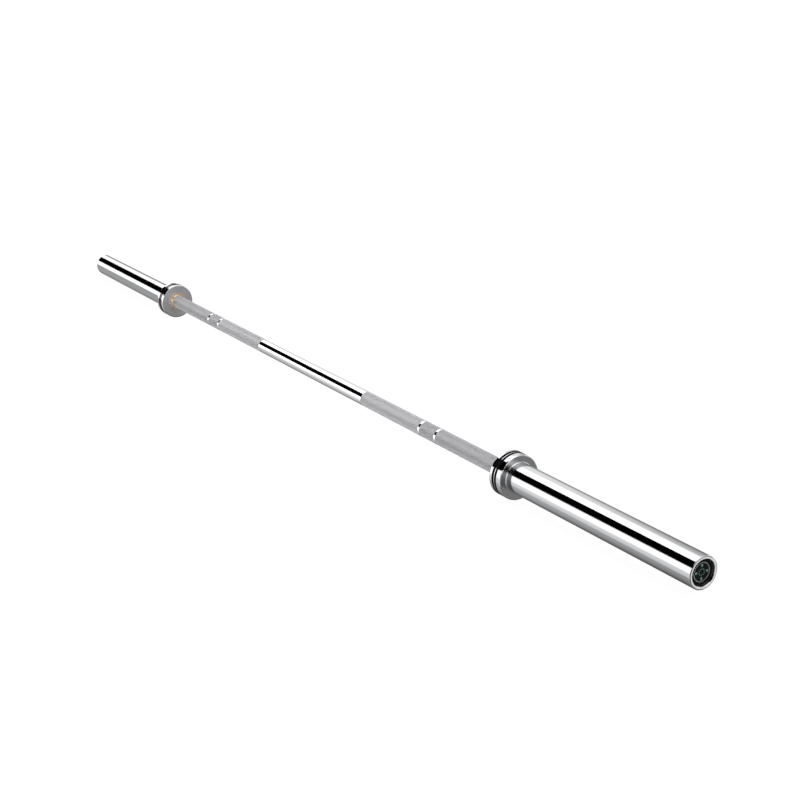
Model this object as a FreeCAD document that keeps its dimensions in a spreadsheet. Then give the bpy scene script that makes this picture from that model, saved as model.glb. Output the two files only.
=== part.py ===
import FreeCAD, Part
import enum
import os

import Sketcher

# Olympic barbell: a knurled steel shaft whose turned-down ends carry two chromed loading sleeves.
# The bar lies along X with its centre at the origin, and Z points up. Sizes are in millimetres.
# Each sleeve turns on two bronze bushings. The shaft's shoulder stops it on the inside, and a thrust
# stack of two washers and a retaining ring holds it on at the shaft's end, behind a cap.

# Driving dimensions. A radial size is counted outwards from the piece inside it.
DIMENSIONS = {
    # Shaft
    "grip_length": 1302.0,
    "shaft_diameter": 28.0,
    "knurl_height": 0.15,
    "smooth_centre": 416.0,
    "inner_marks": 810.0,
    "mark_gap": 50.0,
    "mark_width": 5.0,
    "knurl_margin": 4.0,
    "journal_step": 1.0,
    "shoulder_chamfer": 0.4,
    "shaft_end_chamfer": 1.0,
    "shaft_end_gap": 2.0,
    # Bushings
    "running_clearance": 0.05,
    "bushing_wall": 2.95,
    "bushing_chamfer": 0.4,
    "inner_bushing_length": 60.0,
    "outer_bushing_length": 40.0,
    "flange_overlap": 4.0,
    "flange_thickness": 3.0,
    # Thrust stack at the shaft's end
    "thrust_play": 0.3,
    "washer_overlap": 2.0,
    "washer_clearance": 0.1,
    "bronze_washer_thickness": 2.0,
    "steel_washer_thickness": 2.0,
    "shaft_ring_thickness": 1.2,
    "shaft_ring_width": 2.8,
    "shaft_ring_taper": 0.5,
    "shaft_ring_groove_depth": 0.55,
    "shaft_ring_land": 3.0,
    "shaft_ring_gap": 3.2,
    "shaft_ring_lug": 2.1,
    "shaft_ring_lug_hole": 2.0,
    # Sleeve
    "loading_length": 420.0,
    "sleeve_wall": 9.0,
    "sleeve_end_round": 1.0,
    "rim_chamfer": 0.6,
    "chamber_clearance": 0.5,
    # Collar
    "collar_width": 29.0,
    "collar_height": 12.5,
    "collar_wall": 6.0,
    "collar_seat_depth": 1.0,
    "collar_edge_round": 2.4,
    "collar_inner_land": 7.6,
    "collar_rib": 3.4,
    "collar_rib_round": 1.3,
    "collar_groove_width": 4.0,
    "collar_groove_depth": 2.8,
    "collar_lip_chamfer": 0.5,
    "hub_length": 2.0,
    "hub_height": 0.6,
    "hub_root_round": 1.0,
    "hub_edge_chamfer": 0.3,
    # Sleeve end: cap, its retaining ring and its printed disc
    "cap_ledge": 1.5,
    "cap_thickness": 6.0,
    "cap_clearance": 0.05,
    "cap_edge_chamfer": 0.5,
    "cap_floor": 3.2,
    "cap_skirt": 4.0,
    "cap_boss_height": 1.75,
    "cap_boss_rim": 0.4,
    "cap_ring_setback": 3.8,
    "cap_ring_thickness": 1.75,
    "cap_ring_width": 3.0,
    "cap_ring_taper": 0.6,
    "cap_ring_groove_depth": 1.25,
    "cap_ring_gap": 2.4,
    "cap_ring_lug": 2.5,
    "cap_ring_lug_hole": 2.5,
    "ring_play": 0.1,
    "disc_border": 5.2,
    "disc_thickness": 0.4,
    "disc_sink": 0.1,
    "disc_clearance": 0.1,
}

# Radii worked out from the driving dimensions, from the shaft outwards.
RADII = {
    "shaft_radius": "dims.shaft_diameter / 2",
    "knurl_radius": "shaft_radius + dims.knurl_height",
    "journal_radius": "shaft_radius - dims.journal_step",
    "shaft_groove_radius": "journal_radius - dims.shaft_ring_groove_depth",
    "bushing_bore_radius": "journal_radius + dims.running_clearance",
    "sleeve_bore_radius": "bushing_bore_radius + dims.bushing_wall",
    "flange_radius": "sleeve_bore_radius + dims.flange_overlap",
    "washer_bore_radius": "journal_radius + dims.washer_clearance",
    "washer_radius": "sleeve_bore_radius + dims.washer_overlap",
    "chamber_radius": "washer_radius + dims.chamber_clearance",
    "cap_bore_radius": "chamber_radius + dims.cap_ledge",
    "cap_groove_radius": "cap_bore_radius + dims.cap_ring_groove_depth",
    "cap_radius": "cap_bore_radius - dims.cap_clearance",
    "cap_hollow_radius": "cap_radius - dims.cap_skirt",
    "disc_radius": "cap_bore_radius - dims.disc_border",
    "disc_seat_radius": "disc_radius + dims.disc_clearance",
    "cap_boss_radius": "disc_seat_radius + dims.cap_boss_rim",
    "sleeve_radius": "sleeve_bore_radius + dims.sleeve_wall",
    "collar_seat_radius": "sleeve_radius - dims.collar_seat_depth",
    "collar_radius": "sleeve_radius + dims.collar_height",
    "hub_radius": "sleeve_radius + dims.hub_height",
}

# Places along the bar. The ones on the shaft are counted from the bar's centre.
SHAFT_PLACES = {
    "smooth_end": "dims.smooth_centre / 2",
    "inner_mark": "dims.inner_marks / 2",
    "outer_mark": "inner_mark + dims.mark_gap",
    "collar_face": "dims.grip_length / 2",
    "knurl_end": "collar_face - dims.knurl_margin",
    "shoulder": "collar_face - dims.thrust_play",
}

# The ones in a sleeve are counted outwards from its collar's inner face.
SLEEVE_PLACES = {
    "hub_end": "dims.collar_width + dims.hub_length",
    "sleeve_end": "dims.collar_width + dims.loading_length",
    "cap_ring_groove_end": "sleeve_end - dims.cap_ring_setback",
    "cap_face": "cap_ring_groove_end - dims.cap_ring_thickness - dims.ring_play",
    "cap_seat": "cap_face - dims.cap_thickness",
    "cap_boss_face": "cap_face + dims.cap_boss_height",
    "disc_seat": "cap_boss_face - dims.disc_thickness - dims.disc_sink",
    "shaft_end": "cap_seat - dims.shaft_end_gap",
    "shaft_groove_end": "shaft_end - dims.shaft_ring_land",
    "shaft_ring_seat": "shaft_groove_end - dims.shaft_ring_thickness",
    "shaft_groove_start": "shaft_ring_seat - dims.ring_play",
    "steel_washer_seat": "shaft_ring_seat - dims.steel_washer_thickness",
    "bronze_washer_seat": "steel_washer_seat - dims.bronze_washer_thickness",
    "thrust_face": "bronze_washer_seat - dims.thrust_play",
    "outer_bushing_start": "thrust_face - dims.outer_bushing_length",
}

SIDES = {"left": -1, "right": 1}
HALF_TURN = 180
FULL_TURN = 360
MATCH = 1e-4


class Axis(enum.IntEnum):
    """How a sketch numbers its own axes."""

    HORIZONTAL = -1
    VERTICAL = -2


class Point(enum.IntEnum):
    """How a sketch numbers the points of a line or a circle."""

    START = 1
    END = 2
    CENTRE = 3


SKETCH_ORIGIN = (Axis.HORIZONTAL, Point.START)
doc = FreeCAD.newDocument("olympic_barbell")


def make_sheet(name, rows):
    """Make a sheet with one aliased cell for each row of alias and cell text."""
    sheet = doc.addObject("Spreadsheet::Sheet", name)
    for row, (alias, text) in enumerate(rows.items(), start=1):
        cell = f"A{row}"
        sheet.set(cell, text)
        sheet.setAlias(cell, alias)
    doc.recompute()
    return sheet


dims = make_sheet("dims", {alias: str(size) for alias, size in DIMENSIONS.items()})
layout_rows = {**RADII, **SHAFT_PLACES, **SLEEVE_PLACES}
layout = make_sheet("layout", {alias: f"={formula}" for alias, formula in layout_rows.items()})


def value(expression):
    """Give the number that an expression on the sheets comes to."""
    return float(layout.evalExpression(expression))


def origin_plane(body, role):
    """Find one of the body's own origin planes."""
    return next(plane for plane in body.Origin.OriginFeatures if plane.Role == role)


def new_body(node):
    """Start a sub-part whose label names its file."""
    body = doc.addObject("PartDesign::Body", node)
    body.Label = node
    return body


def new_sketch(body, name, role):
    """Add an empty sketch on one of the body's origin planes."""
    sketch = body.newObject("Sketcher::SketchObject", name)
    sketch.AttachmentSupport = [(origin_plane(body, role), "")]
    sketch.MapMode = "FlatFace"
    return sketch


def bind(sketch, name, kind, where, expression):
    """Add a measured constraint and tie it to an expression."""
    index = sketch.addConstraint(Sketcher.Constraint(kind, *where, value(expression)))
    sketch.renameConstraint(index, name)
    sketch.setExpression(f"Constraints.{name}", expression)


def bind_point(sketch, name, point, across, up):
    """Tie a sketch point to two expressions; "0" puts it on the axis."""
    for kind, axis, expression in (("DistanceX", Axis.VERTICAL, across), ("DistanceY", Axis.HORIZONTAL, up)):
        if expression == "0":
            sketch.addConstraint(Sketcher.Constraint("PointOnObject", *point, axis))
        elif value(expression) < 0:
            bind(sketch, f"{name}_{kind}", kind, (*point, *SKETCH_ORIGIN), f"-({expression})")
        else:
            bind(sketch, f"{name}_{kind}", kind, (*SKETCH_ORIGIN, *point), expression)


def add_outline(sketch, corners):
    """Draw a closed outline of straight edges through corners given as pairs of expressions."""
    places = [FreeCAD.Vector(*(value(text) for text in corner), 0) for corner in corners]
    count = len(corners)
    for index, start in enumerate(places):
        sketch.addGeometry(Part.LineSegment(start, places[(index + 1) % count]), False)
    for index in range(count):
        following = (index + 1) % count
        sketch.addConstraint(Sketcher.Constraint("Coincident", index, Point.END, following, Point.START))
    for index, (across, up) in enumerate(corners):
        bind_point(sketch, f"corner{index}", (index, Point.START), across, up)


def add_circle(sketch, name, across, up, radius):
    """Draw a circle whose centre and radius are expressions."""
    centre = FreeCAD.Vector(value(across), value(up), 0)
    circle = sketch.addGeometry(Part.Circle(centre, FreeCAD.Vector(0, 0, 1), value(radius)), False)
    middle = (circle, Point.CENTRE)
    if across == "0" and up == "0":
        sketch.addConstraint(Sketcher.Constraint("Coincident", *middle, *SKETCH_ORIGIN))
    else:
        bind_point(sketch, name, middle, across, up)
    bind(sketch, f"{name}_radius", "Radius", (circle,), radius)


def turn(body, name, corners):
    """Turn an outline of (along, radius) corners about the bar's axis."""
    sketch = new_sketch(body, f"{name}_outline", "XZ_Plane")
    add_outline(sketch, corners)
    feature = body.newObject("PartDesign::Revolution", name)
    feature.Profile = sketch
    feature.ReferenceAxis = (sketch, ["H_Axis"])
    feature.Angle = FULL_TURN
    doc.recompute()


def cut_groove(body, name, sketch):
    """Cut a turned groove from a sketch on the XZ plane."""
    before = body.Shape.Volume
    feature = body.newObject("PartDesign::Groove", name)
    feature.Profile = sketch
    feature.ReferenceAxis = (sketch, ["H_Axis"])
    feature.Angle = FULL_TURN
    doc.recompute()
    check_cut(name, before, body)


def pad(body, name, sketch, thickness):
    """Raise a sketch on the YZ plane outwards along the bar."""
    feature = body.newObject("PartDesign::Pad", name)
    feature.Profile = sketch
    feature.setExpression("Length", thickness)
    doc.recompute()


def cut_through(body, name, sketch):
    """Cut a sketch on the YZ plane through the whole body, both ways."""
    before = body.Shape.Volume
    feature = body.newObject("PartDesign::Pocket", name)
    feature.Profile = sketch
    feature.Type = "ThroughAll"
    feature.SideType = "Symmetric"
    doc.recompute()
    check_cut(name, before, body)


def check_cut(name, volume_before, body):
    """Stop if a cut took nothing away."""
    if body.Shape.Volume > volume_before - MATCH:
        raise RuntimeError(f"{name} cut nothing")


def ring_edges(feature, places):
    """Name the feature's circular edges at the given (along, radius) places."""
    wanted = [tuple(value(text) for text in place) for place in places]
    names = []
    for number, edge in enumerate(feature.Shape.Edges, start=1):
        if not isinstance(edge.Curve, Part.Circle):
            continue
        along, radius = edge.Curve.Center.x, edge.Curve.Radius
        if any(abs(along - x) < MATCH and abs(radius - r) < MATCH for x, r in wanted):
            names.append(f"Edge{number}")
    if len(names) != len(wanted):
        raise RuntimeError(f"{feature.Name}: found {len(names)} of {len(wanted)} edges")
    return names


def round_edges(body, name, places, radius):
    """Round the body's circular edges at the given places."""
    base = body.Tip
    fillet = body.newObject("PartDesign::Fillet", name)
    fillet.Base = (base, ring_edges(base, places))
    fillet.setExpression("Radius", radius)
    doc.recompute()


def bevel_edges(body, name, places, size):
    """Chamfer the body's circular edges at the given places."""
    base = body.Tip
    chamfer = body.newObject("PartDesign::Chamfer", name)
    chamfer.Base = (base, ring_edges(base, places))
    chamfer.setExpression("Size", size)
    doc.recompute()


def place_on_side(body, side, along):
    """Set a sub-part at a place in its sleeve; the left side is the right one turned half round."""
    sign = SIDES[side]
    angle = HALF_TURN if sign < 0 else 0
    body.Placement = FreeCAD.Placement(FreeCAD.Vector(), FreeCAD.Rotation(FreeCAD.Vector(0, 0, 1), angle))
    body.setExpression("Placement.Base.x", f"{sign} * (layout.collar_face + {along})")
    doc.recompute()


def make_shaft():
    """The solid bar: smooth centre, knurled bands with marking rings, shoulder, journal, ring groove."""
    body = new_body("shaft")
    smooth, knurl = "layout.shaft_radius", "layout.knurl_radius"
    journal, groove = "layout.journal_radius", "layout.shaft_groove_radius"
    ramp = "dims.knurl_height"

    def on_journal(place):
        """Count a place in the sleeve from the bar's centre."""
        return f"layout.collar_face + layout.{place}"

    corners = [
        ("0", "0"),
        ("0", smooth),
        ("layout.smooth_end", smooth),
        (f"layout.smooth_end + {ramp}", knurl),
    ]
    for mark in ("layout.inner_mark", "layout.outer_mark"):
        start = f"{mark} - dims.mark_width / 2"
        end = f"{mark} + dims.mark_width / 2"
        corners += [(f"{start} - {ramp}", knurl), (start, smooth), (end, smooth), (f"{end} + {ramp}", knurl)]
    corners += [
        (f"layout.knurl_end - {ramp}", knurl),
        ("layout.knurl_end", smooth),
        ("layout.shoulder - dims.shoulder_chamfer", smooth),
        ("layout.shoulder", f"{smooth} - dims.shoulder_chamfer"),
        ("layout.shoulder", journal),
        (on_journal("shaft_groove_start"), journal),
        (on_journal("shaft_groove_start"), groove),
        (on_journal("shaft_groove_end"), groove),
        (on_journal("shaft_groove_end"), journal),
        (f"{on_journal('shaft_end')} - dims.shaft_end_chamfer", journal),
        (on_journal("shaft_end"), f"{journal} - dims.shaft_end_chamfer"),
        (on_journal("shaft_end"), "0"),
    ]
    turn(body, "shaft_half", corners)
    half = body.Tip
    mirrored = body.newObject("PartDesign::Mirrored", "shaft_both_halves")
    mirrored.Originals = [half]
    mirrored.MirrorPlane = (origin_plane(body, "YZ_Plane"), [""])
    body.Tip = mirrored
    doc.recompute()
    return body


def make_sleeve(side):
    """The loading tube, with a turned seat for the collar and a stepped bore at its outer end."""
    node = f"{side}_sleeve"
    body = new_body(node)
    bore, cap_bore = "layout.sleeve_bore_radius", "layout.cap_bore_radius"
    seat, outside = "layout.collar_seat_radius", "layout.sleeve_radius"
    chamber = "layout.chamber_radius"
    end = "layout.sleeve_end"
    turn(body, f"{node}_tube", [
        ("dims.collar_wall", bore),
        ("dims.collar_wall", seat),
        ("layout.hub_end", seat),
        ("layout.hub_end", outside),
        (end, outside),
        (end, f"{cap_bore} + dims.rim_chamfer"),
        (f"{end} - dims.rim_chamfer", cap_bore),
        ("layout.cap_seat", cap_bore),
        ("layout.cap_seat", chamber),
        ("layout.thrust_face", chamber),
        ("layout.thrust_face", bore),
    ])
    round_edges(body, f"{node}_lead_in", [(end, outside)], "dims.sleeve_end_round")
    sketch = new_sketch(body, f"{node}_ring_groove_outline", "XZ_Plane")
    groove_floor = "layout.cap_groove_radius"
    add_outline(sketch, [
        ("layout.cap_face", chamber),
        ("layout.cap_face", groove_floor),
        ("layout.cap_ring_groove_end", groove_floor),
        ("layout.cap_ring_groove_end", chamber),
    ])
    cut_groove(body, f"{node}_ring_groove", sketch)
    place_on_side(body, side, "0")
    return body


def make_collar(side):
    """The stop ring: stepped bore, two turned grooves with a rounded rib between, hub at the root."""
    node = f"{side}_collar"
    body = new_body(node)
    outside, hub, seat = "layout.collar_radius", "layout.hub_radius", "layout.collar_seat_radius"
    bore, flange = "layout.sleeve_bore_radius", "layout.flange_radius"
    groove_floor = f"{outside} - dims.collar_groove_depth"
    width = "dims.collar_width"
    first_lip = "dims.collar_inner_land"
    rib_start = f"{first_lip} + dims.collar_groove_width"
    rib_end = f"{rib_start} + dims.collar_rib"
    last_lip = f"{rib_end} + dims.collar_groove_width"
    turn(body, f"{node}_blank", [
        ("0", flange),
        ("0", outside),
        (first_lip, outside),
        (first_lip, groove_floor),
        (rib_start, groove_floor),
        (rib_start, outside),
        (rib_end, outside),
        (rib_end, groove_floor),
        (last_lip, groove_floor),
        (last_lip, outside),
        (width, outside),
        (width, hub),
        ("layout.hub_end", hub),
        ("layout.hub_end", seat),
        ("dims.collar_wall", seat),
        ("dims.collar_wall", bore),
        ("dims.flange_thickness", bore),
        ("dims.flange_thickness", flange),
    ])
    round_edges(body, f"{node}_rib", [(rib_start, outside), (rib_end, outside)], "dims.collar_rib_round")
    round_edges(body, f"{node}_rims", [("0", outside), (width, outside)], "dims.collar_edge_round")
    round_edges(body, f"{node}_root", [(width, hub)], "dims.hub_root_round")
    bevel_edges(body, f"{node}_lips", [(first_lip, outside), (last_lip, outside)], "dims.collar_lip_chamfer")
    bevel_edges(body, f"{node}_hub_edge", [("layout.hub_end", hub)], "dims.hub_edge_chamfer")
    place_on_side(body, side, "0")
    return body


def make_inner_bushing(side):
    """The flanged bronze bushing in the collar, whose flange meets the shaft's shoulder."""
    node = f"{side}_inner_bushing"
    body = new_body(node)
    bore, outside, flange = "layout.bushing_bore_radius", "layout.sleeve_bore_radius", "layout.flange_radius"
    turn(body, f"{node}_turned", [
        ("0", bore),
        ("0", flange),
        ("dims.flange_thickness", flange),
        ("dims.flange_thickness", outside),
        ("dims.inner_bushing_length", outside),
        ("dims.inner_bushing_length", bore),
    ])
    edges = [("0", bore), ("0", flange), ("dims.inner_bushing_length", bore)]
    bevel_edges(body, f"{node}_bevels", edges, "dims.bushing_chamfer")
    place_on_side(body, side, "0")
    return body


def make_round_plate(side, node, outer, inner, thickness, along):
    """A flat ring or, with no inner radius, a disc; it is given its place in the sleeve."""
    body = new_body(node)
    sketch = new_sketch(body, f"{node}_outline", "YZ_Plane")
    add_circle(sketch, "outer", "0", "0", outer)
    if inner:
        add_circle(sketch, "inner", "0", "0", inner)
    pad(body, f"{node}_plate", sketch, thickness)
    place_on_side(body, side, along)
    return body


def make_outer_bushing(side):
    """The plain bronze bushing near the shaft's end."""
    node = f"{side}_outer_bushing"
    bore, length = "layout.bushing_bore_radius", "dims.outer_bushing_length"
    outside, start = "layout.sleeve_bore_radius", "layout.outer_bushing_start"
    body = make_round_plate(side, node, outside, bore, length, start)
    bevel_edges(body, f"{node}_bevels", [("0", bore), (length, bore)], "dims.bushing_chamfer")
    return body


def make_washer(side, metal):
    """One of the two thrust washers."""
    node = f"{metal}_washer"
    return make_round_plate(side, f"{side}_{node}", "layout.washer_radius", "layout.washer_bore_radius",
                            f"dims.{node}_thickness", f"layout.{node}_seat")


def make_retaining_ring(side, kind, outer, inner, wide_circle, lug_circle, along):
    """A sprung ring, widest at the top, with two drilled lugs at the gap below.

    wide_circle names the circle, outer or inner, that is shifted to make the ring taper.
    """
    node = f"{side}_{kind}"
    body = new_body(node)
    sizes = f"dims.{kind}"
    thickness, lug, gap = f"{sizes}_thickness", f"{sizes}_lug", f"{sizes}_gap"
    shifts = {"outer": f"{sizes}_taper", "inner": f"-{sizes}_taper"}
    sketch = new_sketch(body, f"{node}_outline", "YZ_Plane")
    for name, radius in (("outer", outer), ("inner", inner)):
        add_circle(sketch, name, "0", shifts[name] if name == wide_circle else "0", radius)
    pad(body, f"{node}_band", sketch, thickness)

    lug_across = f"({gap} / 2 + {lug})"
    lug_drop = f"-sqrt(({lug_circle}) ^ 2 - {lug_across} ^ 2)"
    lug_places = {"near": f"-{lug_across}", "far": lug_across}
    lugs = new_sketch(body, f"{node}_lug_outline", "YZ_Plane")
    for name, across in lug_places.items():
        add_circle(lugs, name, across, lug_drop, lug)
    pad(body, f"{node}_lugs", lugs, thickness)

    opening = new_sketch(body, f"{node}_gap_outline", "YZ_Plane")
    reach = f"-({outer} + {lug})"
    near_wall, far_wall = f"-{gap} / 2", f"{gap} / 2"
    add_outline(opening, [(near_wall, "0"), (far_wall, "0"), (far_wall, reach), (near_wall, reach)])
    cut_through(body, f"{node}_gap", opening)

    holes = new_sketch(body, f"{node}_hole_outline", "YZ_Plane")
    for name, across in lug_places.items():
        add_circle(holes, name, across, lug_drop, f"{sizes}_lug_hole / 2")
    cut_through(body, f"{node}_lug_holes", holes)
    place_on_side(body, side, along)
    return body


def make_shaft_ring(side):
    """The outside ring in the shaft's end groove, with its lugs pointing outwards."""
    inner = "(layout.shaft_groove_radius + dims.ring_play)"
    outer = f"({inner} + dims.shaft_ring_width)"
    return make_retaining_ring(side, "shaft_ring", outer, inner, "outer", outer, "layout.shaft_ring_seat")


def make_cap_ring(side):
    """The inside ring in the sleeve's end groove, with its lugs pointing inwards over the cap."""
    outer = "(layout.cap_groove_radius - dims.ring_play)"
    inner = f"({outer} - dims.cap_ring_width)"
    return make_retaining_ring(side, "cap_ring", outer, inner, "inner", inner, "layout.cap_face")


def make_end_cap(side):
    """The plug in the sleeve's end: hollow behind, with a raised centre inside its ring to seat the disc."""
    node = f"{side}_end_cap"
    body = new_body(node)
    outside, hollow = "layout.cap_radius", "layout.cap_hollow_radius"
    boss, disc_seat = "layout.cap_boss_radius", "layout.disc_seat_radius"
    shoulder, front = "dims.cap_thickness", "layout.cap_boss_face - layout.cap_seat"
    floor = "layout.disc_seat - layout.cap_seat"
    back = f"{floor} - dims.cap_floor"
    turn(body, f"{node}_cup", [
        ("0", hollow),
        ("0", outside),
        (shoulder, outside),
        (shoulder, boss),
        (front, boss),
        (front, disc_seat),
        (floor, disc_seat),
        (floor, "0"),
        (back, "0"),
        (back, hollow),
    ])
    bevel_edges(body, f"{node}_bevels", [("0", outside), (shoulder, outside)], "dims.cap_edge_chamfer")
    place_on_side(body, side, "layout.cap_seat")
    return body


def make_end_disc(side):
    """The thin printed disc on the cap."""
    return make_round_plate(side, f"{side}_end_disc", "layout.disc_radius", None, "dims.disc_thickness",
                            "layout.disc_seat")


def make_all():
    """Build every sub-part."""
    bodies = [make_shaft()]
    for side in SIDES:
        bodies += [
            make_sleeve(side),
            make_collar(side),
            make_inner_bushing(side),
            make_outer_bushing(side),
            make_washer(side, "bronze"),
            make_washer(side, "steel"),
            make_shaft_ring(side),
            make_end_cap(side),
            make_cap_ring(side),
            make_end_disc(side),
        ]
    return bodies


def check_all(bodies):
    """Stop if any object failed or any sub-part isn't one valid solid."""
    for item in doc.Objects:
        if "Invalid" in item.State or "Error" in item.State:
            raise RuntimeError(f"{item.Name} failed: {item.State}")
    for body in bodies:
        shape = body.Shape
        if shape.isNull() or not shape.isValid() or len(shape.Solids) != 1:
            raise RuntimeError(f"{body.Label} is not one valid solid")


sub_parts = make_all()
doc.recompute()
check_all(sub_parts)
os.makedirs("parts", exist_ok=True)
for sub_part in sub_parts:
    sub_part.Shape.exportStep(os.path.join("parts", f"{sub_part.Label}.step"))
    box = sub_part.Shape.BoundBox
    print(f"{sub_part.Label}: {sub_part.Shape.Volume:.0f} mm3, x {box.XMin:.2f} to {box.XMax:.2f}")
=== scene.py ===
"""Dress the olympic barbell: knurled shaft, chromed sleeves and collars, bronze bushings, capped ends.

Everything is in metres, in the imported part's own frame: the bar lies along X with its middle at the origin,
and Z points up. Each side is built as the right one, and the left one is that turned half round about Z.
"""

import logging
import math
from dataclasses import dataclass
from enum import Enum
from functools import lru_cache

import bmesh
import bpy
import numpy as np
from mathutils import Matrix, Vector


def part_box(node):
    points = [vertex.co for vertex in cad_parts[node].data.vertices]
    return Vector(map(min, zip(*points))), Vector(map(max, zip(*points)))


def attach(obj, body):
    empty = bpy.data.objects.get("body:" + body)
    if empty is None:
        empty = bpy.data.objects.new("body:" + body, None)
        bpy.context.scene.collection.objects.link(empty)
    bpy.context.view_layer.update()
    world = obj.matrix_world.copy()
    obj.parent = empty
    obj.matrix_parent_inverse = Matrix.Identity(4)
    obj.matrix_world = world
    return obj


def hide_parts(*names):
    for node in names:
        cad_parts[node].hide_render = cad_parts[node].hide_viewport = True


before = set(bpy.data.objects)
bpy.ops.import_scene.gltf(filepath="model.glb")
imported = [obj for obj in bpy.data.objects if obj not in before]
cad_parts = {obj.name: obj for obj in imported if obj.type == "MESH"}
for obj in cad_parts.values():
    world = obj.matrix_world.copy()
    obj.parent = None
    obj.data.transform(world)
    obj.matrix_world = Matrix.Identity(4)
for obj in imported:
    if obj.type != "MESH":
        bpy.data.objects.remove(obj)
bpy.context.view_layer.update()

LOG = logging.getLogger("barbell")
MM = 0.001
TINY = 1e-7
FULL_TURN = 2 * math.pi
NOISE_RANGE = (0.3, 0.7)
NOISE_DETAIL = 3.0

Colour = tuple[float, float, float]
Place = tuple[float, float, float]
Span = tuple[float, float]
Levels = tuple[Span, ...]
Socket = bpy.types.NodeSocket
Value = float | Socket


class Side(Enum):
    """The two ends of the bar."""

    LEFT = -1
    RIGHT = 1

    @property
    def prefix(self) -> str:
        """The word that this side's pieces start with."""
        return self.name.lower()

    @property
    def body(self) -> str:
        """The body that turns with this side's sleeve."""
        return f"{self.prefix}_sleeve_assembly"

    @property
    def placing(self) -> Matrix:
        """The turn that takes a right-hand piece to this side."""
        return Matrix.Identity(4) if self is Side.RIGHT else Matrix.Rotation(math.pi, 4, "Z")


class Surface(Enum):
    """The kinds of face on a turned piece, in the order of its material slots."""

    MAIN = 0
    FACED = 1
    # Groove faces take painted shade: a near-black finish for the shade inside the grooves.
    GROOVE = 2
    GROUND = 3


class Grain(Enum):
    """The way that fine marks run on a surface."""

    TURNED = "rings round the bar's axis"
    SPECKLED = "specks the same in every direction"


class NodeTree:
    """A short way to write a node tree."""

    def __init__(self, tree: bpy.types.NodeTree) -> None:
        """Take a tree to fill, without the nodes that it already has."""
        self.tree = tree
        tree.nodes.clear()

    def add(self, kind: str, inputs: dict | None = None, **settings: object) -> bpy.types.Node:
        """Add a node.

        Args:
            kind: Blender's name for the node's type.
            inputs: values or sockets for its inputs, by name or number.
            settings: the node's own properties.

        Returns:
            The new node.
        """
        node = self.tree.nodes.new(kind)
        for name, setting in settings.items():
            setattr(node, name, setting)
        for name, given in (inputs or {}).items():
            if isinstance(given, Socket):
                self.tree.links.new(given, node.inputs[name])
            else:
                node.inputs[name].default_value = given
        return node

    def maths(self, operation: str, *values: Value) -> Socket:
        """Add one step of arithmetic, by Blender's name for it, and give its result."""
        return self.add("ShaderNodeMath", dict(enumerate(values)), operation=operation).outputs[0]

    def ramp(self, value: Value, start: Value, end: Value, low: Value, high: Value,
             shape: str = "LINEAR") -> Socket:
        """Map a value from one range to another, held at both ends, in a shape that Blender names."""
        inputs = {0: value, 1: start, 2: end, 3: low, 4: high}
        return self.add("ShaderNodeMapRange", inputs, interpolation_type=shape).outputs[0]


@dataclass(frozen=True)
class Finish:
    """One finish: its colours, its gloss and the fine marks in it."""

    name: str
    dark: Colour
    light: Colour
    metallic: float
    smoothest: float
    roughest: float
    grain: Grain
    grain_size: float
    relief: float
    specular: float = 0.5
    cloud_size: float = 40 * MM

    @lru_cache(maxsize=None)
    def material(self) -> bpy.types.Material:
        """Make the finish's material, once.

        Returns:
            The material, with its colour, roughness and relief worked out from the place on the bar.
        """
        material = bpy.data.materials.new(self.name)
        material.use_nodes = True
        nodes = NodeTree(material.node_tree)
        place = nodes.add("ShaderNodeTexCoord").outputs["Object"]
        marks = self.noise(nodes, self.along_grain(nodes, place), self.grain_size)
        clouds = self.noise(nodes, place, self.cloud_size)
        blend = nodes.maths("MULTIPLY", nodes.maths("ADD", marks, clouds), 0.5)
        colour = nodes.add("ShaderNodeMix", {"Factor": blend}, data_type="RGBA")
        colour.inputs["A"].default_value = (*self.dark, 1)
        colour.inputs["B"].default_value = (*self.light, 1)
        relief = nodes.add("ShaderNodeBump", {"Height": marks, "Strength": 1.0, "Distance": self.relief})
        shader = nodes.add("ShaderNodeBsdfPrincipled", {
            "Base Color": colour.outputs["Result"],
            "Metallic": self.metallic,
            "Specular IOR Level": self.specular,
            "Roughness": nodes.ramp(blend, *NOISE_RANGE, self.smoothest, self.roughest),
            "Normal": relief.outputs[0],
        })
        nodes.add("ShaderNodeOutputMaterial", {"Surface": shader.outputs[0]})
        return material

    def along_grain(self, nodes: NodeTree, place: Socket) -> Socket:
        """Squeeze the place on the bar so that noise runs the way of the grain.

        Args:
            nodes: the material's tree.
            place: the place on the bar.

        Returns:
            The socket that holds the squeezed place.
        """
        if self.grain is Grain.SPECKLED:
            return place
        along = nodes.add("ShaderNodeSeparateXYZ", {0: place}).outputs[0]
        return nodes.add("ShaderNodeCombineXYZ", {0: along, 1: self.radius(nodes, place)}).outputs[0]

    @staticmethod
    def radius(nodes: NodeTree, place: Socket) -> Socket:
        """Work out how far a place is from the bar's axis.

        Args:
            nodes: the material's tree.
            place: the place on the bar.

        Returns:
            The socket that holds the distance.
        """
        part = nodes.add("ShaderNodeSeparateXYZ", {0: place}).outputs
        squares = (nodes.maths("POWER", axis, 2.0) for axis in part[1:])
        return nodes.maths("SQRT", nodes.maths("ADD", *squares))

    @staticmethod
    def noise(nodes: NodeTree, place: Socket, size: float) -> Socket:
        """Add soft noise with lumps of one size, mostly within the noise range."""
        inputs = {"Vector": place, "Scale": 1 / size, "Detail": NOISE_DETAIL}
        return nodes.add("ShaderNodeTexNoise", inputs).outputs[0]


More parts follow.
